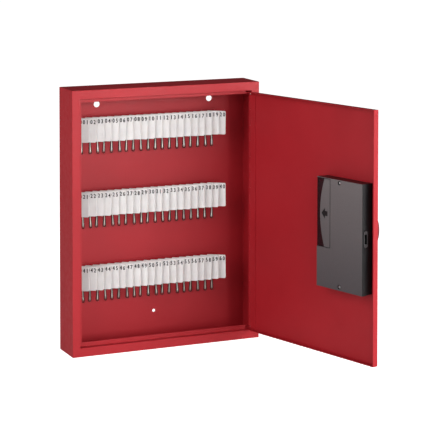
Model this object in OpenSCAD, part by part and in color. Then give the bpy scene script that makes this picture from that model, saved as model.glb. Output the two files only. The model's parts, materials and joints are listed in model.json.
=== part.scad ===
/* [Cabinet] */
// Width of the cabinet
case_w = 320; // [300:5:360]
// Height of the cabinet
case_h = 417; // [400:1:460]
// Depth of the cabinet, wall face to front flange
case_d = 60; // [58:1:80]
// Thickness of the folded steel sheet
sheet = 1.0; // [0.8:0.1:1.0]
// Width of the front flange on the lock side
lock_flange = 12.5; // [11:0.5:14]
// Width of the front flange on the hinge side
hinge_flange = 13.4; // [13.4:0.2:15]
// Height of the front flange at the top and the bottom
top_flange = 13.8; // [12:0.2:15]
// Depth of the recess in front of the door stop
stop_depth = 10.2; // [10:0.1:11]
// Height of the door stop lip
stop_lip = 6.4; // [5:0.2:7]

/* [Wall holes] */
// Distance between the two upper wall holes
wall_hole_spacing = 195; // [180:5:200]
// Height of the upper wall holes above the middle of the back
wall_hole_up = 178; // [174:1:180]
// Diameter of the upper wall holes
wall_hole_d = 10; // [8:0.5:12]
// Distance of the lower wall hole below the middle of the back
low_hole_down = 162; // [155:1:170]
// Diameter of the lower wall hole
low_hole_d = 5; // [4:0.5:6]

/* [Door] */
// Gap between the door and the front flange
door_gap = 1.7; // [1.5:0.1:2]
// Depth of the door pan
door_depth = 9.3; // [8:0.1:9.5]
// Angle the door stands open
open_angle = 105.7; // [90:0.1:120]
// Radius of the hinge knuckles
knuckle_r = 2.1; // [2:0.1:2.2]
// Radius of the hinge pin
pin_r = 1.0; // [0.9:0.1:1.1]
// Number of hinge knuckles, both leaves together
knuckle_count = 30; // [20:2:40]
// Width of the hinge leaf on the door
door_leaf_w = 14; // [12:1:16]

/* [Key tags] */
// Tags in one row
tag_count = 20; // [10:1:20]
// Distance between neighbouring hooks
tag_pitch = 12.4; // [12.4:0.1:12.6]
// Height of a tag
tag_h = 38; // [34:1:40]
// Thickness of a tag
tag_t = 1.6; // [1.4:0.1:1.8]
// Width of a tag to the right of its hook
tag_right = 23.1; // [22:0.1:24]
// Width of a tag to the left of its hook
tag_left = 8; // [6:0.5:8]
// Length of the snap hook below the tag
snap_drop = 20.8; // [18:0.2:24]
// Distance between the rows
row_pitch = 117.5; // [112:0.5:118]
// Height of the top row's upper edge above the middle
top_row_up = 160; // [158:1:162]

/* [Lock] */
// Width of the lock housing
lock_w = 98.8; // [98:0.2:102]
// Height of the lock housing
lock_h = 168.2; // [168:0.2:172]
// Distance from the door's outer skin to the face of the lock housing
lock_face = 22.7; // [22.4:0.1:23]
// Distance from the hinge axis to the middle of the lock housing
lock_a = 230.5; // [226:0.5:231]
// Travel radius of the crank pin that drives the bolt
crank_r = 8.5; // [8.5:0.1:9]
// Travel of a key cap
key_travel = 1.0; // [0.5:0.1:1]
// Height of the knob's tip above the door
knob_reach = 43; // [38:1:46]

/* [Hidden] */
$fn = 48;

// Cabinet: the origin is the middle of the back, +X to the right, -Y out of the front
eps = 0.01;
front_y = -case_d;
half_w = case_w / 2;
half_h = case_h / 2;
open_left = -half_w + lock_flange;
open_right = half_w - hinge_flange;
open_top = half_h - top_flange;
stop_y = front_y + stop_depth;
notch_w = 6;
notch_h = 3.8;

// Hinge and door: the axis lies in the front plane, and its knuckles touch the hinge-side return
hinge_x = open_right - knuckle_r;
door_a0 = knuckle_r + 0.4;
door_a1 = hinge_x - open_left - door_gap;
door_half_h = open_top - door_gap;
leaf_t = knuckle_r - 1.0;
hinge_half_h = door_half_h - 4;
knuckle_len = 2 * hinge_half_h / knuckle_count;
knuckle_gap = 0.25;
pin_clear = 0.05;
frame_leaf_depth = 10;
running = 0.1;

// Tags and hooks
hook_turn = 35;
tag_y = -19.5;
tag_x0 = -141.6;
hook_drop = 8;
tag_hole_r = 3.2;
tag_corner = 2;
hook_t = 1;
hook_h = 3;
hook_rise = tag_hole_r - 0.2 - hook_h / 2;
hook_front = 5;
strip_x0 = tag_x0 - 6;
strip_x1 = tag_x0 + (tag_count - 1) * tag_pitch + 14;
strip_h = 16;
rivet_r = 1.2;
rivet_up = 3.5;
wire_w = 1.8;
snap_r = 2.7;
row_tops = [top_row_up, top_row_up - row_pitch, top_row_up - 2 * row_pitch];
row_turns = [32, 33.5, 36];

// Lock, seen from outside with the door shut: x to the right, y into the cabinet, z up
lock_z = -2;
half_lw = lock_w / 2;
half_lh = lock_h / 2;
seam_y = 11.5;
wall = 2;
base_step = 0.4;
floor_y = 2.5;
spindle_x = -12.5;
spindle_z = 3.3;
bolt_z = 0.8;
spindle_r = 4;
bolt_y0 = 13.7;
bolt_y1 = 17.9;
bolt_h = 14.5;
bolt_tip_x = -half_lw + 1.8;
bolt_top = bolt_z + bolt_h / 2;
crank_x = crank_r * sin(45);
throw = 2 * crank_x;
crank_pin_r = 2;
slot_clear = 0.35;
head_half = crank_pin_r + slot_clear + 3;
head_top = spindle_z + crank_r + crank_pin_r + 4;
plunger_x = -31.5;
plunger_r = 2;
notch_depth = 3.4;
solenoid_z0 = 20.5;
solenoid_z1 = 46;
screw_r = 1.5;
thread_clear = 0.02;
screw_sink = 2.4;
cover_screw_zs = [half_lh - 4.5, -half_lh + 5.4];
mount_screw_xs = [spindle_x - 21, spindle_x + 21];
mount_screw_zs = [77.5, -76];

// Battery compartment and its cover
cell_r = 7.1;
cell_len = 49.8;
cell_y = 10.3;
cell_xs = [half_lw - wall - 7.7, half_lw - wall - 22.3];
bay_x = cell_xs[1] - cell_r - 0.2;
bay_z0 = half_lh - 106.2;
bay_z1 = half_lh - 2.6;
lid_x0 = half_lw - 28.8;
lid_z0 = bay_z0 + 0.1;
lid_z1 = half_lh - 1.8;
lid_t = 1.5;
lid_ledge = 1.4;
grip_r = 150;
grip_edge = 7.2;
grip_z = 29.5;
grip_dip = 0.9;
arrow_x = half_lw - 17.2;
arrow_z = half_lh - 54.7;

// Outside of the lock
bezel_w = 70;
bezel_h = 160;
bezel_t = 9;
bezel_z = 1;
bezel_corner = 14;
bezel_front = 2.8;
key_w = 15;
key_h = 8.6;
key_cols = [-20, 0, 20];
key_rows = [65, 53.5, 42, 30.5];
key_proud = 1.5;
key_flange = 1;
cyl_z = -48;
cyl_r = 8.5;
plug_r = 6.2;
cap_pivot_z = cyl_z + 17;
cap_r = 11;
cap_t = 2.6;
knob_r = 17;
knob_base_top = 24;
seam_groove = 0.9;

function wave(i, row) = sin(i * 137.5 + row * 61);
function tag_turn(i, row) = row_turns[row] + 1.6 * wave(i, row);
function tag_roll(i, row) = 1.1 * sin(i * 97 + row * 143);

module box(x0, x1, y0, y1, z0, z1) {
  translate([x0, y0, z0]) cube([x1 - x0, y1 - y0, z1 - z0]);
}

// A cylinder along y from y0 to y1
module rod(x, z, y0, y1, r, r_end) {
  translate([x, y0, z])
    rotate([-90, 0, 0])
      cylinder(h = y1 - y0, r1 = r, r2 = is_undef(r_end) ? r : r_end);
}

module round_rect(w, h, r) {
  square([w - 2 * r, h], center = true);
  square([w, h - 2 * r], center = true);
  for (sx = [-1, 1], sz = [-1, 1])
    translate([sx * (w / 2 - r), sz * (h / 2 - r)]) circle(r);
}

// A round-cornered plate standing in the x-z plane, from y0 to y1
module slab(x, z, w, h, r, y0, y1) {
  translate([x, y1, z]) rotate([90, 0, 0]) linear_extrude(y1 - y0) round_rect(w, h, r);
}

module on_door() {
  translate([hinge_x, front_y, 0]) rotate([0, 0, open_angle]) children();
}

module on_lock() {
  on_door() translate([-lock_a, 0, lock_z]) children();
}

// A coil of round wire along +z
function ring_point(t, a, r, wire, rise) =
  [(r + wire * cos(a)) * cos(t), (r + wire * cos(a)) * sin(t), rise * t / 360 + wire * sin(a)];

module coil(r, wire, turns, rise, steps = 14, sides = 6) {
  last = floor(turns * steps);
  points = [for (i = [0:last], s = [0:sides - 1])
    ring_point(i * 360 / steps, s * 360 / sides, r, wire, rise)];
  skin = [for (i = [0:last - 1], s = [0:sides - 1])
    [i * sides + s, i * sides + (s + 1) % sides,
     (i + 1) * sides + (s + 1) % sides, (i + 1) * sides + s]];
  ends = [[for (s = [sides - 1:-1:0]) s], [for (s = [0:sides - 1]) last * sides + s]];
  polyhedron(points = points, faces = concat(skin, ends));
}

// Cabinet

module case_walls() {
  difference() {
    box(-half_w, half_w, front_y, 0, -half_h, half_h);
    box(-half_w + sheet, half_w - sheet, front_y + sheet, 1, -half_h + sheet, half_h - sheet);
    box(open_left, open_right, front_y - 1, front_y + 2 * sheet, -open_top, open_top);
  }
}

// Flange edges fold back into the cabinet; all but the hinge side fold again into a door stop
module case_returns() {
  back = stop_y + sheet;
  difference() {
    box(open_left - sheet, open_right + sheet, front_y, back, -open_top - sheet, open_top + sheet);
    box(open_left, open_right, front_y - 1, back + 1, -open_top, open_top);
  }
  difference() {
    box(open_left, open_right, stop_y, back, -open_top, open_top);
    box(open_left + stop_lip, open_right + 1, stop_y - 1, back + 1,
      -open_top + stop_lip, open_top - stop_lip);
  }
}

module case_shell() {
  color("firebrick")
  difference() {
    union() {
      case_walls();
      case_returns();
    }
    for (side = [0, 1])
      mirror([0, 0, side])
        box(open_right - notch_w, open_right, front_y + sheet, stop_y + 2 * sheet,
          open_top - notch_h, open_top + 2 * sheet);
  }
}

module back_panel() {
  color("firebrick")
  difference() {
    box(-half_w + sheet, half_w - sheet, -sheet, 0, -half_h + sheet, half_h - sheet);
    for (side = [-1, 1])
      rod(side * wall_hole_spacing / 2, wall_hole_up, -2 * sheet, sheet, wall_hole_d / 2);
    rod(0, -low_hole_down, -2 * sheet, sheet, low_hole_d / 2);
  }
}

// Hook strips, tags and snap hooks

module at_tag(i, row) {
  translate([tag_x0 + i * tag_pitch, tag_y, row_tops[row] - hook_drop]) children();
}

module hook() {
  rotate([0, 0, -hook_turn]) {
    box(-hook_t / 2, hook_t / 2, -hook_front, 24, hook_rise - hook_h / 2, hook_rise + hook_h / 2);
    box(-hook_t / 2, hook_t / 2, -hook_front, -hook_front + hook_t,
      hook_rise - hook_h / 2, hook_rise + hook_h / 2 + 3);
  }
}

module hook_strip(row) {
  z = row_tops[row] - hook_drop;
  color("firebrick")
  difference() {
    union() {
      box(strip_x0, strip_x1, -2 * sheet, -sheet, z - strip_h / 2, z + strip_h / 2);
      for (i = [0:tag_count - 1]) at_tag(i, row) hook();
    }
    box(-half_w, half_w, -sheet, 10, -half_h, half_h);
  }
}

module tag() {
  w = tag_left + tag_right;
  difference() {
    slab((tag_right - tag_left) / 2, hook_drop - tag_h / 2, w, tag_h, tag_corner,
      -tag_t / 2, tag_t / 2);
    rod(0, 0, -tag_t, tag_t, tag_hole_r);
    rod(0, hook_drop - tag_h + rivet_up, -tag_t, tag_t, rivet_r + 0.05);
  }
}

// A flat teardrop loop behind the tag, held by its rivet
module snap_hook() {
  z_rivet = hook_drop - tag_h + rivet_up;
  y0 = tag_t / 2 + 0.05;
  z_arc = hook_drop - tag_h - snap_drop + snap_r;
  neck = 1.5;
  translate([0, y0 + wire_w, 0])
    rotate([90, 0, 0])
      linear_extrude(wire_w)
        difference() {
          union() {
            translate([0, z_arc]) circle(snap_r);
            polygon([[-snap_r, z_arc], [snap_r, z_arc], [neck, z_rivet], [-neck, z_rivet]]);
            translate([0, z_rivet]) circle(2);
          }
          translate([0, z_arc]) circle(snap_r - wire_w * 0.8);
          polygon([[-snap_r + wire_w * 0.8, z_arc], [snap_r - wire_w * 0.8, z_arc],
            [0.3, z_rivet - 4], [-0.3, z_rivet - 4]]);
        }
  rod(0, z_rivet, -tag_t / 2 - 0.5, y0, rivet_r);
  rod(0, z_rivet, -tag_t / 2 - 0.6, -tag_t / 2 - 0.05, rivet_r + 0.5);
}

module pose_tag(i, row) {
  at_tag(i, row) rotate([0, 0, -tag_turn(i, row)]) rotate([0, tag_roll(i, row), 0]) children();
}

module key_tags(row) {
  color("whitesmoke")
  for (i = [0:tag_count - 1]) pose_tag(i, row) tag();
}

module snap_hooks(row) {
  color("silver")
  for (i = [0:tag_count - 1]) pose_tag(i, row) snap_hook();
}

// Hinge: even knuckles belong to the cabinet's leaf, odd ones to the door's leaf

module knuckles(first) {
  for (k = [first:2:knuckle_count - 1])
    translate([0, 0, -hinge_half_h + k * knuckle_len + knuckle_gap / 2])
      cylinder(h = knuckle_len - knuckle_gap, r = knuckle_r);
}

module knuckle_windows(first, x0, x1, y0, y1) {
  for (k = [first:2:knuckle_count - 1]) {
    z = -hinge_half_h + k * knuckle_len;
    box(x0, x1, y0, y1, z - knuckle_gap / 2, z + knuckle_len + knuckle_gap / 2);
  }
}

module pin_hole() {
  cylinder(h = 2 * hinge_half_h + 4, r = pin_r + pin_clear, center = true);
}

module hinge_frame_leaf() {
  clear = knuckle_r + 0.3;
  color("firebrick")
  translate([hinge_x, front_y, 0])
    difference() {
      union() {
        box(knuckle_r - leaf_t, knuckle_r, 0, frame_leaf_depth, -hinge_half_h, hinge_half_h);
        knuckles(0);
      }
      knuckle_windows(1, 0, knuckle_r + 1, -1, clear);
      pin_hole();
    }
}

module hinge_door_leaf() {
  clear = knuckle_r + 0.3;
  color("firebrick")
  on_door()
    difference() {
      union() {
        box(-door_leaf_w, 0, knuckle_r - leaf_t, knuckle_r, -hinge_half_h, hinge_half_h);
        knuckles(1);
      }
      knuckle_windows(0, -clear, 1, 0, knuckle_r + 1);
      pin_hole();
    }
}

module hinge_pin() {
  color("silver")
  translate([hinge_x, front_y, 0])
    cylinder(h = 2 * hinge_half_h + 1, r = pin_r, center = true);
}

// Door

module door_cutouts() {
  rod(spindle_x, spindle_z, -2, 3, spindle_r + 2);
  rod(spindle_x, cyl_z, -2, 3, cyl_r + 0.3);
  box(-42, -28, -2, 3, 56, 60);
  for (x = mount_screw_xs, z = mount_screw_zs) rod(x, z, -2, 3, screw_r + 0.3);
}

module door_panel() {
  color("firebrick")
  difference() {
    on_door()
      difference() {
        box(-door_a1, -door_a0, 0, door_depth, -door_half_h, door_half_h);
        box(-door_a1 + sheet, 1, sheet, door_depth + 1, -door_half_h + sheet, door_half_h - sheet);
      }
    on_lock() door_cutouts();
  }
}

// Lock housing

module screw_tubes() {
  for (z = cover_screw_zs) rod(0, z, floor_y - eps, lock_face - screw_sink - wall - 0.1, 2.4);
}

module lock_base() {
  w = half_lw - base_step;
  h = half_lh - base_step;
  color("dimgray")
  on_lock()
    difference() {
      union() {
        difference() {
          box(-w, w, sheet, seam_y, -h, h);
          box(-w + wall, w - wall, floor_y, seam_y + 1, -h + wall, h - wall);
        }
        screw_tubes();
        box(bay_x - 1.2, bay_x, floor_y - eps, 20.5, bay_z0 - 1.2, h - wall);
        box(bay_x - 1.2, w - wall, floor_y - eps, 20.5, bay_z0 - 1.2, bay_z0);
        rod(spindle_x, spindle_z, floor_y - eps, 9.8, spindle_r + 3);
        rod(plunger_x, 67, floor_y - eps, 6, 2.5);
        rod(10, 60, floor_y - eps, 6, 2.5);
      }
      rod(spindle_x, spindle_z, 0, 12, spindle_r + running);
      rod(spindle_x, cyl_z, 0, 12, cyl_r + 0.1);
      box(-42, -28, 0, 3, 56, 60);
      for (z = cover_screw_zs) rod(0, z, 8, lock_face, screw_r + thread_clear);
      for (x = mount_screw_xs, z = mount_screw_zs) rod(x, z, 0, 3, screw_r + 0.1);
    }
}

module lock_cover() {
  face = lock_face;
  color("dimgray")
  on_lock()
    difference() {
      union() {
        difference() {
          box(-half_lw, half_lw, seam_y + 0.1, face, -half_lh, half_lh);
          box(-half_lw + wall, half_lw - wall, seam_y - 1, face - wall,
            -half_lh + wall, half_lh - wall);
        }
        translate([-half_lw + 1, (seam_y + 20) / 2, bolt_z])
          rotate([0, -90, 0]) linear_extrude(1.8) round_rect(25, 8, 3);
        for (z = cover_screw_zs) rod(0, z, face - screw_sink - wall, face - wall + eps, 4.2);
      }
      box(lid_x0 + lid_ledge, half_lw + 1, seam_y - 1, face + 1,
        lid_z0 + lid_ledge, lid_z1 - lid_ledge);
      box(lid_x0, half_lw + 1, face - lid_t - 0.05, face + 1, lid_z0 - 0.1, lid_z1 + 0.1);
      box(lid_x0 - seam_groove, half_lw + 1, face - seam_groove, face + 1,
        lid_z0 - seam_groove, lid_z1 + seam_groove);
      box(-half_lw - 2, -half_lw + wall + 1, bolt_y0 - 0.3, bolt_y1 + 0.3,
        bolt_z - bolt_h / 2 - 0.3, bolt_top + 0.3);
      for (z = cover_screw_zs) {
        rod(0, z, face - screw_sink - wall - 1, face + 1, screw_r + 0.1);
        rod(0, z, face - screw_sink, face + 1, 3.2);
      }
    }
}

module cover_screws() {
  head_y = lock_face - screw_sink + 0.05;
  color("gray")
  on_lock()
    for (z = cover_screw_zs)
      difference() {
        union() {
          rod(0, z, 9, head_y + eps, screw_r);
          rod(0, z, head_y, head_y + 1.4, 2.1, 1.7);
        }
        box(-2, 2, head_y + 0.8, lock_face, z - 0.3, z + 0.3);
        box(-0.3, 0.3, head_y + 0.8, lock_face, z - 2, z + 2);
      }
}

// Beside the wide arc its face is a shallow dip, so a finger can push the cover off its ledges
module battery_cover() {
  z0 = lid_z0 + lid_ledge + 0.15;
  z1 = lid_z1 - lid_ledge - 0.15;
  dip_y = lock_face - grip_dip;
  color("dimgray")
  on_lock() {
    box(lid_x0 + 0.1, half_lw, lock_face - lid_t, dip_y, lid_z0, lid_z1);
    box(half_lw - 16.4, half_lw, 17.8, dip_y - eps, z0, z1);
    box(half_lw - lid_t, half_lw, seam_y + 0.5, 17.8 + eps, z0, z1);
    intersection() {
      box(lid_x0 + 0.1, half_lw - 1, dip_y - eps, lock_face, lid_z0, lid_z1);
      rod(half_lw - grip_edge - grip_r, grip_z, dip_y - 1, lock_face + 0.5, grip_r, $fn = 180);
    }
    translate([arrow_x, lock_face + 0.4, arrow_z])
      rotate([90, 0, 0])
        linear_extrude(0.5)
          polygon([[6.4, 0], [-1, 8.2], [-1, 3.6], [-6.4, 3.6], [-6.4, -3.6], [-1, -3.6],
            [-1, -8.2]]);
  }
}

module cell(up) {
  rotate([0, up ? 0 : 180, 0])
    translate([0, 0, -cell_len / 2]) {
      cylinder(h = cell_len - 1.2, r = cell_r);
      translate([0, 0, cell_len - 1.2 - eps]) cylinder(h = 1.2, r = 2.7);
    }
}

module batteries() {
  z_low = bay_z0 + 2.6 + cell_len / 2;
  color("goldenrod")
  on_lock()
    for (col = [0, 1], step = [0, 1])
      translate([cell_xs[col], cell_y, z_low + step * cell_len]) cell(col == 0);
}

module battery_contacts() {
  color("silver")
  on_lock() {
    box(bay_x + 0.5, half_lw - wall - 1, 4, 16.5, bay_z1 - 0.9, bay_z1 - 0.5);
    for (x = cell_xs) {
      box(x - 5, x + 5, 4, 16.5, bay_z0 + 0.05, bay_z0 + 0.45);
      translate([x, cell_y, bay_z0 + 0.82]) coil(3.2, 0.3, 2, 0.7);
    }
  }
}

module control_board() {
  color("darkgreen")
  on_lock() {
    box(-45, 15, 6, 7.6, 48.5, 73.5);
    box(-20, -6, 7.6, 9.6, 52, 66);
    box(-2, 8, 7.6, 12.6, 56, 64);
    rod(-38, 68, 7.6, 16, 4);
  }
}

module solenoid_body() {
  color("silver")
  on_lock()
    difference() {
      box(plunger_x - 8, plunger_x + 8, 11, 20.6, solenoid_z0, solenoid_z1);
      translate([plunger_x, 15.8, solenoid_z0 - 1])
        cylinder(h = 22, r = plunger_r + running);
    }
}

module solenoid_plunger() {
  color("silver")
  on_lock()
    translate([plunger_x, 15.8, 0]) {
      translate([0, 0, bolt_top + 0.2]) cylinder(h = 30, r = plunger_r);
      translate([0, 0, bolt_top + 5.4]) cylinder(h = 1, r = plunger_r + 1.4);
    }
}

module plunger_spring() {
  z0 = bolt_top + 6.9;
  rise = (solenoid_z0 - z0 - 0.5) / 3;
  color("silver")
  on_lock()
    translate([plunger_x, 15.8, z0]) coil(2.8, 0.35, 3, rise);
}

module bolt() {
  slot_x = spindle_x + crank_x;
  color("silver")
  on_lock()
    difference() {
      union() {
        box(bolt_tip_x, slot_x + head_half, bolt_y0, bolt_y1, bolt_z - bolt_h / 2, bolt_top);
        box(slot_x - head_half, slot_x + head_half, bolt_y0, bolt_y1, bolt_z, head_top);
      }
      box(slot_x - crank_pin_r - slot_clear, slot_x + crank_pin_r + slot_clear, 10, 20,
        spindle_z + crank_x - crank_pin_r - 0.5, spindle_z + crank_r + crank_pin_r + 0.5);
      for (x = [plunger_x, plunger_x + throw])
        box(x - plunger_r - 0.4, x + plunger_r + 0.4, 10, 20, bolt_top - notch_depth, bolt_top + 1);
    }
}

module knob_spindle() {
  color("silver")
  on_lock() {
    rod(spindle_x, spindle_z, -knob_base_top + 4, 10.4 + eps, spindle_r);
    rod(spindle_x, spindle_z, 10.4, 13.2, 12);
    rod(spindle_x + crank_x, spindle_z + crank_x, 13.2 - eps, 17.6, crank_pin_r);
  }
}

// A round base with an upright grip, whose front is a shallow arc between rounded corners
module knob() {
  grip_w = 15;
  grip_h = 37;
  corner = 5;
  dome_r = 40;
  root = -knob_base_top + 6;
  color("firebrick")
  on_lock()
    difference() {
      union() {
        rod(spindle_x, spindle_z, -knob_base_top, -bezel_t - 0.6, knob_r - 1.5, knob_r);
        translate([spindle_x - grip_w / 2, 0, spindle_z])
          rotate([90, 0, 90])
            linear_extrude(grip_w)
              intersection() {
                translate([-knob_reach + 20, 0]) round_rect(40, grip_h, corner);
                translate([-knob_reach + dome_r, 0]) circle(dome_r, $fn = 120);
                translate([-knob_reach, -50]) square([knob_reach + root, 100]);
              }
      }
      rod(spindle_x, spindle_z, -knob_base_top + 4, 0, spindle_r + thread_clear);
    }
}

// Outside of the lock

module key_holes(grow, y0, y1) {
  for (x = key_cols, z = key_rows)
    slab(spindle_x + x, z, key_w + 2 * grow, key_h + 2 * grow, 2 + grow, y0, y1);
}

module keypad_bezel() {
  inner = -bezel_t + bezel_front;
  color("dimgray")
  on_lock()
    difference() {
      union() {
        difference() {
          slab(spindle_x, bezel_z, bezel_w, bezel_h, bezel_corner, -bezel_t, 0);
          slab(spindle_x, bezel_z, bezel_w - 5, bezel_h - 5, bezel_corner - 2.5, inner, 1);
        }
        rod(spindle_x, spindle_z, inner - eps, 0, spindle_r + 3);
        rod(spindle_x, cyl_z, inner - eps, 0, cyl_r + 2.5);
        rod(spindle_x, cap_pivot_z, inner - eps, 0, 3.5);
        for (x = mount_screw_xs, z = mount_screw_zs) rod(x, z, inner - eps, 0, 3.2);
      }
      key_holes(0.3, -bezel_t - 1, 0);
      rod(spindle_x, spindle_z, -bezel_t - 1, 1, spindle_r + running);
      rod(spindle_x, cyl_z, -bezel_t - 1, 1, cyl_r + 0.1);
      rod(spindle_x, cap_pivot_z, -bezel_t - 1, -3, screw_r + thread_clear);
      for (x = mount_screw_xs, z = mount_screw_zs) rod(x, z, -7, 1, screw_r + thread_clear);
      for (side = [-1, 1]) rod(spindle_x + side * 6, 22, -bezel_t - 1, 0, 1.65);
    }
}

module lock_mounting_screws() {
  color("silver")
  on_lock()
    for (x = mount_screw_xs, z = mount_screw_zs) {
      rod(x, z, -6.5, floor_y + eps, screw_r);
      rod(x, z, floor_y, floor_y + 2, 2.8, 2.2);
    }
}

module key_cap(col, row) {
  back = -bezel_t + bezel_front + 0.2;
  color("gainsboro")
  on_lock() {
    slab(spindle_x + key_cols[col], key_rows[row], key_w, key_h, 2, -bezel_t - key_proud, back);
    slab(spindle_x + key_cols[col], key_rows[row], key_w + 2, key_h + 1.8, 2, back - eps,
      back + key_flange);
  }
}

module dome_mat() {
  y = -bezel_t + bezel_front + 0.2 + key_flange + key_travel;
  color("lightgray")
  on_lock() slab(spindle_x, 47.75, 61, 46.5, 3, y + 0.1, y + 1.1);
}

module keypad_board() {
  y = -bezel_t + bezel_front + 0.2 + key_flange + key_travel + 1.1;
  color("darkgreen")
  on_lock() slab(spindle_x, 47.75, 61, 46.5, 3, y, y + 1.6);
}

module wire_harness() {
  board_back = -bezel_t + bezel_front + 0.2 + key_flange + key_travel + 2.7;
  color("gray")
  on_lock() {
    box(-39, -31, board_back, 6, 57.5, 58.5);
    for (z = [50, 53])
      translate([15, 8.4, z]) rotate([0, 90, 0]) cylinder(h = bay_x - 1.2 - 15, r = 0.7);
  }
}

module status_lenses() {
  color("lightgreen")
  on_lock()
    for (side = [-1, 1]) rod(spindle_x + side * 6, 22, -bezel_t - 0.3, -5, 1.6);
}

module cylinder_body() {
  color("silver")
  on_lock()
    difference() {
      rod(spindle_x, cyl_z, -8.2, 19, cyl_r);
      rod(spindle_x, cyl_z, -9, 20, plug_r + 0.05);
    }
}

module cylinder_plug() {
  color("silver")
  on_lock()
    difference() {
      union() {
        rod(spindle_x, cyl_z, -8.2, 19, plug_r);
        rod(spindle_x, cyl_z, 19 - eps, 20.3, plug_r - 1);
      }
      box(spindle_x - 1, spindle_x + 1, -9, 10, cyl_z - 4.5, cyl_z + 4.5);
    }
}

module cylinder_cap() {
  y0 = -bezel_t - 0.2 - cap_t;
  y1 = -bezel_t - 0.2;
  color("dimgray")
  on_lock()
    difference() {
      union() {
        rod(spindle_x, cyl_z, y0, y1, cap_r);
        rod(spindle_x, cap_pivot_z, y0, y1, 4);
        box(spindle_x - 4, spindle_x + 4, y0, y1, cyl_z, cap_pivot_z);
      }
      rod(spindle_x, cap_pivot_z, y0 - 1, y1 + 1, screw_r + 0.05);
    }
}

module cap_pivot() {
  y0 = -bezel_t - 0.2 - cap_t;
  color("silver")
  on_lock() {
    rod(spindle_x, cap_pivot_z, y0 - 0.1 - eps, -3.5, screw_r);
    rod(spindle_x, cap_pivot_z, y0 - 1.1, y0 - 0.1, 2, 3);
  }
}

case_shell();
back_panel();
hook_strip(0);  // hook_strip_top
hook_strip(1);  // hook_strip_middle
hook_strip(2);  // hook_strip_bottom
key_tags(0);  // key_tags_top
key_tags(1);  // key_tags_middle
key_tags(2);  // key_tags_bottom
snap_hooks(0);  // snap_hooks_top
snap_hooks(1);  // snap_hooks_middle
snap_hooks(2);  // snap_hooks_bottom
hinge_frame_leaf();
hinge_pin();
hinge_door_leaf();
door_panel();
lock_base();
lock_cover();
cover_screws();
battery_cover();
batteries();
battery_contacts();
control_board();
solenoid_body();
solenoid_plunger();
plunger_spring();
bolt();
knob_spindle();
knob();
keypad_bezel();
lock_mounting_screws();
dome_mat();
keypad_board();
wire_harness();
key_cap(0, 0);  // key_1
key_cap(1, 0);  // key_2
key_cap(2, 0);  // key_3
key_cap(0, 1);  // key_4
key_cap(1, 1);  // key_5
key_cap(2, 1);  // key_6
key_cap(0, 2);  // key_7
key_cap(1, 2);  // key_8
key_cap(2, 2);  // key_9
key_cap(0, 3);  // key_star
key_cap(1, 3);  // key_0
key_cap(2, 3);  // key_hash
status_lenses();
cylinder_body();
cylinder_plug();
cylinder_cap();
cap_pivot();
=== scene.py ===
"""Looks, lights and camera for a steel key cabinet whose door stands open."""

import json
from math import cos, pi, radians, sin

import bmesh
import bpy
from mathutils import Matrix, Vector


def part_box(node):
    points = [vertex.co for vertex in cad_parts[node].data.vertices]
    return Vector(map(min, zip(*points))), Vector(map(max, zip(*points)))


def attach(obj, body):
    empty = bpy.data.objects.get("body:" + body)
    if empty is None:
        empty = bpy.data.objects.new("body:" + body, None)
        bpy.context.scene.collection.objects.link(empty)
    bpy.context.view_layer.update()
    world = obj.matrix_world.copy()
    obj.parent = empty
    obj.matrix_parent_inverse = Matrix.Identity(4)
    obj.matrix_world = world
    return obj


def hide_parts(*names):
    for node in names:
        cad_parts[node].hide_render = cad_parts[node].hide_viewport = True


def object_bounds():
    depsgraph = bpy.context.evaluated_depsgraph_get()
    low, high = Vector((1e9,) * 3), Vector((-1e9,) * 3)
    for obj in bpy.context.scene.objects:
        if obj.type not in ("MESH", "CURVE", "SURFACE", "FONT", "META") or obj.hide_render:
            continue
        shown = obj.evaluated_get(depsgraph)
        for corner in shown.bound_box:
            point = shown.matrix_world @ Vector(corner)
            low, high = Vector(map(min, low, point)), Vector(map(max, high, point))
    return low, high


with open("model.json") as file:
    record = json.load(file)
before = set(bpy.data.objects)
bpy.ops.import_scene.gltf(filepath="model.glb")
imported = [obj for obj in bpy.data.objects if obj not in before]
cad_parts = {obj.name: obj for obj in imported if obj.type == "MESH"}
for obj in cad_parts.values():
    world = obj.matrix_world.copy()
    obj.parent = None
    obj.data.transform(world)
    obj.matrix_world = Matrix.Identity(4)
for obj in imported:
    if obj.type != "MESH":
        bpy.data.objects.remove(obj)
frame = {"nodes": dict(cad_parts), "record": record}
NODES = frame["nodes"]
CAD_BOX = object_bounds()
MM = 0.001

# Places shared with the CAD source, in millimetres and degrees
OPEN_ANGLE = 105.7
HINGE = Vector((144.5, -60.0, 0.0))
LOCK_A = 230.5
LOCK_Z = -2.0
SPINDLE_X = -12.5
LOCK_FACE = 22.7
LOCK_SIDE = -49.4
KEY_FACE = -10.5
KEY_COLUMNS = (-20, 0, 20)
KEY_ROWS = (65, 53.5, 42, 30.5)
KEY_LEGENDS = ("1", "2", "3", "4", "5", "6", "7", "8", "9", "star", "0", "hash")

TAG_COUNT = 20
TAG_PITCH = 12.4
TAG_X0 = -141.6
TAG_Y = -19.5
TAG_H = 38.0
TAG_T = 1.6
TAG_RIGHT = 23.1
HOOK_DROP = 8.0
SNAP_DROP = 20.8
RIVET_UP = 3.5
HOOK_WIRE = 0.72
HOOK_BOW = 2.15
HOOK_BOTTOM = HOOK_BOW + HOOK_WIRE - SNAP_DROP - RIVET_UP
ROWS = ("top", "middle", "bottom")
ROW_TOPS = (160.0, 42.5, -75.0)
ROW_TURNS = (32.0, 33.5, 36.0)


def door_matrix():
    return Matrix.Translation(HINGE * MM) @ Matrix.Rotation(radians(OPEN_ANGLE), 4, "Z")


def lock_matrix():
    return door_matrix() @ Matrix.Translation(Vector((-LOCK_A, 0, LOCK_Z)) * MM)


# Small helpers

def link(obj):
    bpy.context.scene.collection.objects.link(obj)
    return obj


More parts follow.
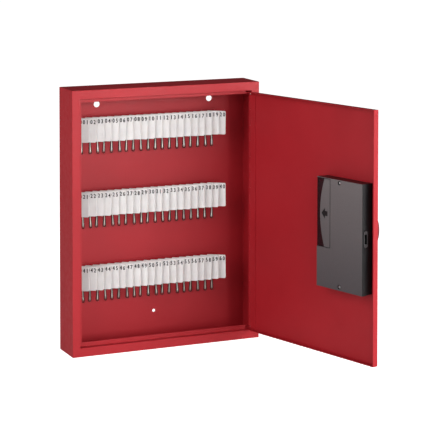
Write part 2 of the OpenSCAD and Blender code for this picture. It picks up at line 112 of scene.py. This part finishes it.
def mesh_object(name, mesh, body, material):
    "A finished piece that rides on a CAD body"
    obj = link(bpy.data.objects.new(name, mesh))
    mesh.materials.clear()
    mesh.materials.append(material)
    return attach(obj, body)


class Shader:
    "A principled material under construction"

    def __init__(self, name):
        self.material = bpy.data.materials.new(name)
        self.material.use_nodes = True
        self.tree = self.material.node_tree
        self.tree.nodes.clear()
        self.out = self.tree.nodes.new("ShaderNodeOutputMaterial")
        self.bsdf = self.tree.nodes.new("ShaderNodeBsdfPrincipled")
        self.tree.links.new(self.bsdf.outputs[0], self.out.inputs["Surface"])
        self.coords = self.tree.nodes.new("ShaderNodeTexCoord").outputs["Object"]

    def set(self, **values):
        for name, value in values.items():
            self.plug(value, self.bsdf.inputs[name.replace("_", " ")])
        return self

    def plug(self, value, socket):
        if isinstance(value, bpy.types.NodeSocket):
            self.tree.links.new(value, socket)
        else:
            socket.default_value = value

    def node(self, kind, settings=None, **inputs):
        made = self.tree.nodes.new(kind)
        for name, value in (settings or {}).items():
            setattr(made, name, value)
        for name, value in inputs.items():
            self.plug(value, made.inputs[name.replace("_", " ")])
        return made

    def noise(self, scale, detail=2.0, roughness=0.5):
        return self.node("ShaderNodeTexNoise", Vector=self.coords, Scale=scale, Detail=detail,
                         Roughness=roughness).outputs[0]

    def remap(self, value, low, high, to_low=0.0, to_high=1.0):
        made = self.node("ShaderNodeMapRange")
        for socket, number in zip(made.inputs, (value, low, high, to_low, to_high)):
            self.plug(number, socket)
        return made.outputs[0]

    def math(self, operation, a, b=0.0):
        made = self.node("ShaderNodeMath", {"operation": operation})
        self.plug(a, made.inputs[0])
        self.plug(b, made.inputs[1])
        return made.outputs[0]

    def mix(self, factor, a, b):
        made = self.node("ShaderNodeMix", {"data_type": "RGBA"})
        for index, value in ((0, factor), (6, a), (7, b)):
            self.plug(value, made.inputs[index])
        return made.outputs[2]

    def axis(self, name):
        return self.node("ShaderNodeSeparateXYZ", Vector=self.coords).outputs[name]

    def bump(self, height, distance, strength=1.0, before=None):
        made = self.node("ShaderNodeBump", Height=height, Distance=distance, Strength=strength)
        if before is not None:
            self.plug(before, made.inputs["Normal"])
        return made.outputs[0]


def rgb(r, g, b):
    return (r, g, b, 1.0)


# Materials

def powder_coat():
    "Crimson powder coat: fine orange peel, faint drift in colour and gloss"
    s = Shader("crimson_powder_coat")
    drift = s.remap(s.noise(9, 3), 0.35, 0.65)
    fleck = s.remap(s.noise(1500, 2), 0.3, 0.7)
    base = s.mix(drift, rgb(0.345, 0.0118, 0.0178), rgb(0.383, 0.0142, 0.0212))
    base = s.mix(s.math("MULTIPLY", fleck, 0.10), base, rgb(0.20, 0.006, 0.010))
    peel = s.bump(s.noise(620, 2), 0.05 * MM, 0.35)
    grit = s.bump(s.noise(2400, 1), 0.015 * MM, 0.35, peel)
    s.set(Base_Color=base, Roughness=s.remap(s.noise(140, 3), 0.3, 0.7, 0.40, 0.50),
          Specular_IOR_Level=0.20, Normal=grit)
    return s.material


def moulded(name, dark, light, specular, roughness=0.28):
    "Spark-textured moulded plastic"
    s = Shader(name)
    drift = s.remap(s.noise(30, 3), 0.35, 0.65)
    grain = s.bump(s.noise(1900, 3, 0.6), 0.03 * MM, 0.35)
    s.set(Base_Color=s.mix(drift, rgb(*dark), rgb(*light)),
          Roughness=s.remap(s.noise(260, 3), 0.3, 0.7, roughness, roughness + 0.1),
          Specular_IOR_Level=specular, Normal=grain)
    return s.material


def lock_face():
    """The coarser texture on the face of the lock; its grey, paler towards the top, is painted
    reflection on black plastic
    """
    s = Shader("lock_face_painted_reflection")
    low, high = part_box("lock_cover")
    height = s.remap(s.axis("Z"), low.z, high.z)
    # Painted reflection: a grey that grows paler towards the top stands in for the light the black
    # face reflects
    base = s.mix(height, rgb(0.066, 0.057, 0.062), rgb(0.150, 0.130, 0.132))
    fleck = s.math("MULTIPLY", s.remap(s.noise(900, 3), 0.3, 0.7), 0.25)
    base = s.mix(fleck, base, rgb(0.05, 0.045, 0.048))
    s.set(Base_Color=base, Roughness=s.remap(s.noise(260, 3), 0.3, 0.7, 0.50, 0.60),
          Specular_IOR_Level=0.35, Normal=s.bump(s.noise(1500, 3, 0.6), 0.04 * MM, 0.35))
    return s.material


def moulded_white():
    "Satin white tags, each moulding a touch different in tone"
    s = Shader("white_tag_plastic")
    drift = s.remap(s.noise(70, 2), 0.3, 0.7)
    base = s.mix(drift, rgb(0.72, 0.695, 0.69), rgb(0.78, 0.76, 0.75))
    wave = s.bump(s.noise(420, 2), 0.03 * MM, 0.25)
    s.set(Base_Color=base, Roughness=s.remap(s.noise(300, 2), 0.3, 0.7, 0.34, 0.44),
          Specular_IOR_Level=0.45, Subsurface_Weight=0.12, Subsurface_Radius=(0.004, 0.003, 0.0025),
          Subsurface_Scale=0.3, Normal=wave)
    return s.material


def key_plastic():
    s = Shader("grey_key_plastic")
    drift = s.remap(s.noise(240, 2), 0.3, 0.7)
    base = s.mix(drift, rgb(0.50, 0.50, 0.50), rgb(0.56, 0.56, 0.56))
    s.set(Base_Color=base, Roughness=0.42, Normal=s.bump(s.noise(2200, 2), 0.02 * MM, 0.3))
    return s.material


def ink(name, colour):
    s = Shader(name)
    fade = s.remap(s.noise(1400, 3), 0.4, 0.8, 0.0, 0.35)
    s.set(Base_Color=s.mix(fade, rgb(*colour), rgb(*(c * 2.2 for c in colour))), Roughness=0.55)
    return s.material


def steel(name, colour, roughness, grain):
    "Plated steel with fine scratches and a mottled plating"
    s = Shader(name)
    mottle = s.remap(s.noise(grain, 4, 0.6), 0.3, 0.7)
    base = s.mix(mottle, rgb(*(c * 0.82 for c in colour)), rgb(*colour))
    s.set(Base_Color=base, Metallic=1.0,
          Roughness=s.remap(s.noise(grain * 2, 3), 0.3, 0.7, roughness, roughness + 0.14),
          Normal=s.bump(s.noise(grain * 3, 2), 0.01 * MM, 0.3))
    return s.material


def battery_jacket():
    "Dark jackets with a copper shoulder at the ends of each cell"
    s = Shader("battery_jacket")
    low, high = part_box("batteries")
    middle = (low.z + high.z) / 2
    cell = (high.z - low.z) / 2
    away = s.math("ABSOLUTE", s.math("SUBTRACT", s.axis("Z"), middle))
    from_centre = s.math("ABSOLUTE", s.math("SUBTRACT", away, cell / 2))
    shoulder = s.math("GREATER_THAN", from_centre, cell * 0.27)
    base = s.mix(shoulder, rgb(0.03, 0.03, 0.035), rgb(0.55, 0.24, 0.09))
    s.set(Base_Color=base, Roughness=0.28, Metallic=s.math("MULTIPLY", shoulder, 0.6),
          Coat_Weight=0.6, Normal=s.bump(s.noise(500, 2), 0.02 * MM, 0.2))
    return s.material


def circuit_board():
    s = Shader("solder_mask_green")
    tracks = s.node("ShaderNodeTexVoronoi", {"feature": "DISTANCE_TO_EDGE"},
                    Vector=s.coords, Scale=420.0)
    line = s.remap(tracks.outputs[0], 0.02, 0.06, 1.0, 0.0)
    s.set(Base_Color=s.mix(line, rgb(0.010, 0.085, 0.030), rgb(0.03, 0.20, 0.07)), Roughness=0.3)
    return s.material


def soft_grey(name, colour, roughness):
    "Silicone and cable sheath"
    s = Shader(name)
    drift = s.remap(s.noise(300, 3), 0.3, 0.7)
    s.set(Base_Color=s.mix(drift, rgb(*(c * 0.85 for c in colour)), rgb(*colour)), Roughness=roughness,
          Normal=s.bump(s.noise(900, 2), 0.03 * MM, 0.3))
    return s.material


def tinted_lens():
    s = Shader("green_lens")
    s.set(Base_Color=s.mix(s.noise(900, 2), rgb(0.05, 0.34, 0.10), rgb(0.08, 0.48, 0.16)),
          Roughness=0.12, Coat_Weight=1.0, Coat_Roughness=0.05)
    return s.material


RED = powder_coat()
BLACK = moulded("black_abs", (0.0045, 0.0045, 0.005), (0.007, 0.0065, 0.007), 0.22)
# Polished black for the finger dip, tinted maroon as a painted reflection of the red door
POLISHED_BLACK_RED_REFLECTION = moulded("polished_black_painted_red_reflection", (0.012, 0.003, 0.005), (0.016, 0.004, 0.006), 0.3, 0.10)
DARK_RED = moulded("dark_red_abs", (0.13, 0.007, 0.010), (0.16, 0.009, 0.013), 0.4)
# A lighter black for the bolt frame: a painted highlight
BLACK_PAINTED_HIGHLIGHT = moulded("black_abs_painted_highlight", (0.030, 0.027, 0.029), (0.040, 0.037, 0.038), 0.22)
# Grey for the flat face of the lock: painted reflection
LOCK_FACE_PAINTED_REFLECTION = lock_face()
WHITE = moulded_white()
KEY_GREY = key_plastic()
TAG_INK = ink("tag_ink", (0.015, 0.010, 0.012))
KEY_INK = ink("key_ink", (0.02, 0.02, 0.022))
WIRE = steel("nickel_wire", (0.86, 0.85, 0.79), 0.30, 400)
# Dark wire for the hook loops: painted shade for the dark rims of the hooks
WIRE_PAINTED_SHADE = steel("wire_steel_painted_shade", (0.040, 0.037, 0.033), 0.26, 300)
ZINC = steel("zinc_plate", (0.66, 0.66, 0.67), 0.26, 250)
NICKEL = steel("nickel_brass", (0.74, 0.71, 0.66), 0.14, 300)
BLACK_STEEL = steel("blackened_steel", (0.012, 0.012, 0.012), 0.4, 300)
SLOT_MATERIALS = {
    "red_paint": RED,
    "black_plastic": BLACK,
    "red_plastic": DARK_RED,
    "white_plastic": WHITE,
    "key_plastic": KEY_GREY,
    "steel_wire": WIRE,
    "zinc_steel": ZINC,
    "black_steel": BLACK_STEEL,
    "brass_nickel": NICKEL,
    "battery_jacket": battery_jacket(),
    "board_green": circuit_board(),
    "silicone": soft_grey("silicone", (0.42, 0.42, 0.43), 0.6),
    "cable_sheath": soft_grey("cable_sheath", (0.16, 0.16, 0.17), 0.5),
    "lens": tinted_lens(),
}

# CAD nodes: finishes, and edges that the press or the mould leaves rounded, in millimetres
KEY_EDGE_RADIUS = 0.5
EDGE_RADIUS = {
    "case_shell": 0.45,
    "door_panel": 0.45,
    "lock_cover": 0.9,
    "lock_base": 0.4,
    "battery_cover": 0.35,
    "keypad_bezel": 0.8,
    "knob": 0.9,
    "cylinder_cap": 0.6,
    "bolt": 0.4,
    "key_tags_top": 0.55,
    "key_tags_middle": 0.55,
    "key_tags_bottom": 0.55,
}


def round_edges(obj, width):
    weld = obj.modifiers.new("weld", "WELD")
    weld.merge_threshold = 0.002 * MM
    flat = obj.modifiers.new("join_flats", "DECIMATE")
    flat.decimate_type = "DISSOLVE"
    flat.angle_limit = radians(1.0)
    flat.delimit = {"MATERIAL"}
    bevel = obj.modifiers.new("edge_radius", "BEVEL")
    bevel.width = width * MM
    bevel.segments = 3
    bevel.limit_method = "ANGLE"
    bevel.angle_limit = radians(40)
    bevel.harden_normals = True
    bevel.use_clamp_overlap = True


def dress_cad_nodes():
    for part in frame["record"]["subparts"]:
        obj = NODES[part["node"]]
        material = SLOT_MATERIALS[part["material_slot"]]
        obj.data.materials.clear()
        obj.data.materials.append(material)
        width = EDGE_RADIUS.get(obj.name, KEY_EDGE_RADIUS if obj.name.startswith("key_") else 0)
        if width:
            round_edges(obj, width)


def paint_light_on_lock_face():
    """Painted light on the lock: the face coloured grey as painted reflection, the bolt frame coloured
    lighter as a painted highlight, and the polished finger dip tinted maroon as a painted reflection
    of the red door

    The arrow, the screw recesses and the sides of the lock keep the black of their nodes.
    """
    painted_light_finishes = (LOCK_FACE_PAINTED_REFLECTION, POLISHED_BLACK_RED_REFLECTION, BLACK_PAINTED_HIGHLIGHT)
    face_reflection, polished_dip_red_reflection, frame_highlight = 1, 2, 3
    face_band, dip_depth, frame_rise = 0.2, 1.2, 0.3
    lock = lock_matrix()
    inward = (lock.to_3x3() @ Vector((0, 1, 0))).normalized()
    face = (lock @ Vector((0, LOCK_FACE * MM, 0))).dot(inward)
    for name in ("lock_cover", "battery_cover"):
        obj = NODES[name]
        for finish in painted_light_finishes:
            obj.data.materials.append(finish)
        turn = obj.matrix_world.to_3x3()
        to_lock = lock.inverted() @ obj.matrix_world
        for polygon in obj.data.polygons:
            depth = (face - (obj.matrix_world @ polygon.center).dot(inward)) / MM
            across = (to_lock @ polygon.center).x / MM
            # Painted highlight: the bolt frame past the side of the lock takes the lighter black
            if name == "lock_cover" and across < LOCK_SIDE - frame_rise:
                polygon.material_index = frame_highlight
            if (turn @ polygon.normal).dot(inward) > 0.99:
                # Painted reflection: the flat face takes the grey
                if abs(depth) < face_band:
                    polygon.material_index = face_reflection
                # Painted reflection: the finger dip takes the maroon-tinted polished black
                elif name == "battery_cover" and 0 < depth < dip_depth:
                    polygon.material_index = polished_dip_red_reflection


# Numerals

def glyph_meshes(characters, bold):
    "One flat, slightly raised mesh per character, 1 unit tall; bold widens its strokes"
    made = {}
    for character in characters:
        curve = bpy.data.curves.new("glyph", "FONT")
        curve.body = character
        curve.resolution_u = 4
        curve.extrude = 0.012
        obj = link(bpy.data.objects.new("glyph", curve))
        bpy.context.view_layer.update()
        mesh = bpy.data.meshes.new_from_object(obj)
        bpy.data.objects.remove(obj)
        low = Vector(map(min, zip(*(v.co for v in mesh.vertices))))
        high = Vector(map(max, zip(*(v.co for v in mesh.vertices))))
        mesh.transform(Matrix.Translation(-(low + high) / 2))
        mesh.transform(Matrix.Scale(1 / (high.y - low.y), 4))
        copies = [Matrix.Translation((bold * dx, bold * dy, 0.002 * dx))
                  for dx, dy in ((-1, -0.6), (0, 0.6), (1, -0.6))]
        made[character] = joined("glyph", [(mesh, copy) for copy in copies])
    return made


def joined(name, placed):
    "One mesh from (mesh, matrix) pairs"
    bm = bmesh.new()
    for mesh, matrix in placed:
        piece = mesh.copy()
        piece.transform(matrix)
        bm.from_mesh(piece)
        bpy.data.meshes.remove(piece)
    bmesh.ops.remove_doubles(bm, verts=bm.verts, dist=0.001 * MM)
    result = bpy.data.meshes.new(name)
    bm.to_mesh(result)
    bm.free()
    return result


def upright(x, y, z, width, height):
    "A glyph that faces -Y, centred at x, y, z, in millimetres"
    return (Matrix.Translation(Vector((x, y, z)) * MM) @ Matrix.Rotation(pi / 2, 4, "X")
            @ Matrix.Diagonal((width * MM, height * MM, height * MM, 1)))


def wave(i, row):
    return sin(radians(i * 137.5 + row * 61))


def tag_matrix(i, row):
    turn = ROW_TURNS[row] + 1.6 * wave(i, row)
    roll = 1.1 * sin(radians(i * 97 + row * 143))
    place = Vector((TAG_X0 + i * TAG_PITCH, TAG_Y, ROW_TOPS[row] - HOOK_DROP)) * MM
    return (Matrix.Translation(place) @ Matrix.Rotation(-radians(turn), 4, "Z")
            @ Matrix.Rotation(radians(roll), 4, "Y"))


def number_tags(glyphs):
    digit_h, digit_pitch, edge_gap, top_gap = 6.2, 5.2, 2.6, 2.4
    for row, name in enumerate(ROWS):
        placed = []
        for i in range(TAG_COUNT):
            number = "%03d" % (row * TAG_COUNT + i + 1)
            for place, character in enumerate(reversed(number)):
                x = TAG_RIGHT - edge_gap - place * digit_pitch
                z = HOOK_DROP - top_gap - digit_h / 2
                spot = upright(x, -TAG_T / 2 - 0.03, z, digit_h * 0.78, digit_h)
                placed.append((glyphs[character], tag_matrix(i, row) @ spot))
        mesh_object("tag_numbers_" + name, joined("tag_numbers_" + name, placed), "tags_" + name,
                    TAG_INK)


def number_keys(glyphs):
    for k, legend in enumerate(KEY_LEGENDS):
        character = {"star": "*", "hash": "#"}.get(legend, legend)
        x = SPINDLE_X + KEY_COLUMNS[k % 3]
        spot = lock_matrix() @ upright(x, KEY_FACE - 0.02, KEY_ROWS[k // 3], 4.6, 4.6)
        name = "key_legend_" + legend
        mesh_object(name, joined(name, [(glyphs[character], spot)]), "key_" + legend,
                    KEY_INK)


# Snap hooks: a wire loop coloured dark as painted shade for the hooks' dark rims, closed by a bright
# latch, hung from the rivet at the foot of each tag.
# Their meshes are built round the rivet's axis at the origin, hanging down along -Z, in the XZ plane

def sweep(bm, path, radius, closed=False, sides=8):
    "A round wire along a path of points, in millimetres"
    count = len(path)
    rings = []
    side = Vector((0, 1, 0))
    for i, point in enumerate(path):
        before = path[i - 1] if i or closed else path[0]
        after = path[(i + 1) % count] if i < count - 1 or closed else path[-1]
        along = (after - before).normalized()
        across = along.cross(side).normalized()
        other = across.cross(along)
        rings.append([bm.verts.new((point + radius * (cos(a) * across + sin(a) * other)) * MM)
                      for a in (2 * pi * k / sides for k in range(sides))])
    for i in range(count if closed else count - 1):
        a, b = rings[i], rings[(i + 1) % count]
        for k in range(sides):
            bm.faces.new((a[k], a[(k + 1) % sides], b[(k + 1) % sides], b[k]))
    if not closed:
        bm.faces.new(list(reversed(rings[0])))
        bm.faces.new(rings[-1])


def angles(start, stop, step):
    return [radians(d) for d in range(start, stop, step)]


def finished(name, bm):
    bmesh.ops.recalc_face_normals(bm, faces=bm.faces)
    mesh = bpy.data.meshes.new(name)
    bm.to_mesh(mesh)
    bm.free()
    return mesh


def hook_body_mesh():
    "A wire loop: an eye round the rivet, then a long teardrop below it"
    shoulder, neck, eye = -1.6, 0.95, 1.9
    foot = [Vector((HOOK_BOW * cos(a), 0, HOOK_BOTTOM + HOOK_BOW * sin(a)))
            for a in angles(-180, 1, 20)]
    left = [Vector((-neck - (HOOK_BOW - neck) * t ** 1.6, 0, shoulder + (HOOK_BOTTOM - shoulder) * t))
            for t in (0, 0.25, 0.5, 0.75, 0.95)]
    right = [Vector((-p.x, 0, p.z)) for p in reversed(left)]
    ring = [Vector((eye * sin(a), 0, -eye * cos(a) + 0.4)) for a in angles(30, 331, 30)]
    bm = bmesh.new()
    sweep(bm, ring + left + foot + right, HOOK_WIRE)
    return finished("hook_body", bm)


def hook_latch_mesh():
    "A pressed strip inside the loop, flared and cupped towards its foot"
    steps, top, thick, cup, back = 10, -2.0, 0.5, 0.9, -0.15
    bm = bmesh.new()
    rows = []
    across = (-1, -0.55, 0, 0.55, 1)
    outline = [(u, 0) for u in across] + [(u, thick) for u in reversed(across)]
    for k in range(steps + 1):
        t = k / steps
        z = top + (HOOK_BOTTOM - top) * t
        half = (0.50 + 0.80 * t ** 1.5) * (1 if k < steps else 0.72)
        rows.append([bm.verts.new(Vector((half * u, -cup * (1 - u * u) + back + d, z)) * MM)
                     for u, d in outline])
    for a, b in zip(rows, rows[1:]):
        for k in range(len(outline)):
            following = (k + 1) % len(outline)
            bm.faces.new((a[k], a[following], b[following], b[k]))
    bm.faces.new(list(reversed(rows[0])))
    bm.faces.new(rows[-1])
    return finished("hook_latch", bm)


def hang_snap_hooks():
    # The loop's dark colour is painted shade
    kinds = (("wire_snap_hooks_", hook_body_mesh(), WIRE_PAINTED_SHADE),
             ("snap_latches_", hook_latch_mesh(), WIRE))
    for row, name in enumerate(ROWS):
        places = []
        for i in range(TAG_COUNT):
            yaw = 8 + 22 * sin(radians(i * 71 + row * 157)) + 9 * sin(radians(i * 229 + row * 31))
            lean = 2.2 * sin(radians(i * 113 + row * 67))
            spot = Vector((0, TAG_T / 2 + 1.2, HOOK_DROP - TAG_H + RIVET_UP)) * MM
            swing = Matrix.Rotation(radians(yaw), 4, "Z") @ Matrix.Rotation(radians(lean), 4, "Y")
            places.append(tag_matrix(i, row) @ Matrix.Translation(spot) @ swing)
        for part, mesh, material in kinds:
            piece = mesh_object(part + name, joined(part + name, [(mesh, place) for place in places]),
                                "tags_" + name, material)
            piece.data.shade_smooth()
            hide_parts("snap_hooks_" + name)


# Stage, lights and camera

FLOOR_SIZE = 24.0
CAMERA_PLACE = Vector((-1.1128, -2.7191, 0.5512))
CAMERA_YAW, CAMERA_DIP = 23.502, 2.488
CAMERA_LENS = 153.47
CAMERA_SHIFT = (0.0512, -0.6196)


def seen_as(tree, seen, lit):
    "A shader that looks one way to the camera and another way to everything else"
    path = tree.nodes.new("ShaderNodeLightPath")
    blend = tree.nodes.new("ShaderNodeMixShader")
    tree.links.new(path.outputs["Is Camera Ray"], blend.inputs[0])
    tree.links.new(lit, blend.inputs[1])
    tree.links.new(seen, blend.inputs[2])
    return blend.outputs[0]


def make_world():
    world = bpy.data.worlds.new("studio")
    bpy.context.scene.world = world
    world.use_nodes = True
    tree = world.node_tree
    tree.nodes.clear()
    out = tree.nodes.new("ShaderNodeOutputWorld")
    shown = tree.nodes.new("ShaderNodeBackground")
    shown.inputs["Color"].default_value = rgb(1, 1, 1)
    shown.inputs["Strength"].default_value = 1.0
    dim = tree.nodes.new("ShaderNodeBackground")
    dim.inputs["Color"].default_value = rgb(1.0, 0.99, 0.98)
    dim.inputs["Strength"].default_value = 0.06
    tree.links.new(seen_as(tree, shown.outputs[0], dim.outputs[0]), out.inputs["Surface"])


def make_floor():
    bm = bmesh.new()
    bmesh.ops.create_grid(bm, x_segments=1, y_segments=1, size=FLOOR_SIZE / 2)
    mesh = bpy.data.meshes.new("floor")
    bm.to_mesh(mesh)
    bm.free()
    floor = link(bpy.data.objects.new("floor", mesh))
    floor.location = (0, 0, CAD_BOX[0].z - 0.0005)
    material = bpy.data.materials.new("pale_floor")
    material.use_nodes = True
    tree = material.node_tree
    tree.nodes.clear()
    out = tree.nodes.new("ShaderNodeOutputMaterial")
    paper = tree.nodes.new("ShaderNodeBsdfDiffuse")
    paper.inputs["Color"].default_value = rgb(0.80, 0.80, 0.80)
    glow = tree.nodes.new("ShaderNodeEmission")
    glow.inputs["Strength"].default_value = 1.0
    both = tree.nodes.new("ShaderNodeAddShader")
    tree.links.new(paper.outputs[0], both.inputs[0])
    tree.links.new(glow.outputs[0], both.inputs[1])
    # From underneath the floor is clear, so the base of the cabinet can be seen
    side = tree.nodes.new("ShaderNodeNewGeometry")
    clear = tree.nodes.new("ShaderNodeBsdfTransparent")
    blend = tree.nodes.new("ShaderNodeMixShader")
    tree.links.new(side.outputs["Backfacing"], blend.inputs[0])
    tree.links.new(seen_as(tree, both.outputs[0], paper.outputs[0]), blend.inputs[1])
    tree.links.new(clear.outputs[0], blend.inputs[2])
    tree.links.new(blend.outputs[0], out.inputs["Surface"])
    mesh.materials.append(material)


def softbox(name, azimuth, elevation, distance, width, height, power, target=(0.1, -0.15, 0.0)):
    "Azimuth 0 is straight in front of the cabinet, 90 is to its right"
    a, e = radians(azimuth), radians(elevation)
    light = bpy.data.lights.new(name, "AREA")
    light.shape = "RECTANGLE"
    light.size, light.size_y = width, height
    light.energy = power
    obj = link(bpy.data.objects.new(name, light))
    away = Vector((sin(a) * cos(e), -cos(a) * cos(e), sin(e)))
    obj.location = Vector(target) + away * distance
    obj.rotation_euler = away.to_track_quat("Z", "Y").to_euler()
    return obj


def make_lights():
    softbox("key_right", 30, 2, 2.4, 1.9, 1.9, 96)
    softbox("far_right", 50, 4, 2.4, 1.9, 1.9, 16)
    softbox("fill_left", -72, 27, 2.6, 2.0, 2.0, 44)
    softbox("front_high", 2, 10, 2.6, 2.0, 1.6, 22)
    softbox("rear_left_card", -122, -4, 2.6, 1.6, 1.0, 12)


def make_camera():
    scene = bpy.context.scene
    data = bpy.data.cameras.new("camera")
    camera = link(bpy.data.objects.new("camera", data))
    camera.location = CAMERA_PLACE
    camera.rotation_euler = (radians(90 - CAMERA_DIP), 0, -radians(CAMERA_YAW))
    data.lens = CAMERA_LENS
    data.sensor_width = 36.0
    data.clip_end = 100.0
    scene.camera = camera
    # The lens is shifted only at this viewpoint; a camera moved elsewhere looks straight ahead
    for channel, amount in zip(("shift_x", "shift_y"), CAMERA_SHIFT):
        driver = data.driver_add(channel).driver
        driver.type = "SCRIPTED"
        place = driver.variables.new()
        place.name = "x"
        place.type = "TRANSFORMS"
        place.targets[0].id = camera
        place.targets[0].transform_type = "LOC_X"
        driver.expression = "%.4f if abs(x - (%.4f)) < 0.0005 else 0.0" % (amount, CAMERA_PLACE.x)


dress_cad_nodes()
paint_light_on_lock_face()
number_tags(glyph_meshes("0123456789", 0.06))
number_keys(glyph_meshes("0123456789*#", 0.015))
hang_snap_hooks()
make_world()
make_floor()
make_lights()
make_camera()
bpy.context.scene.view_settings.view_transform = "Standard"
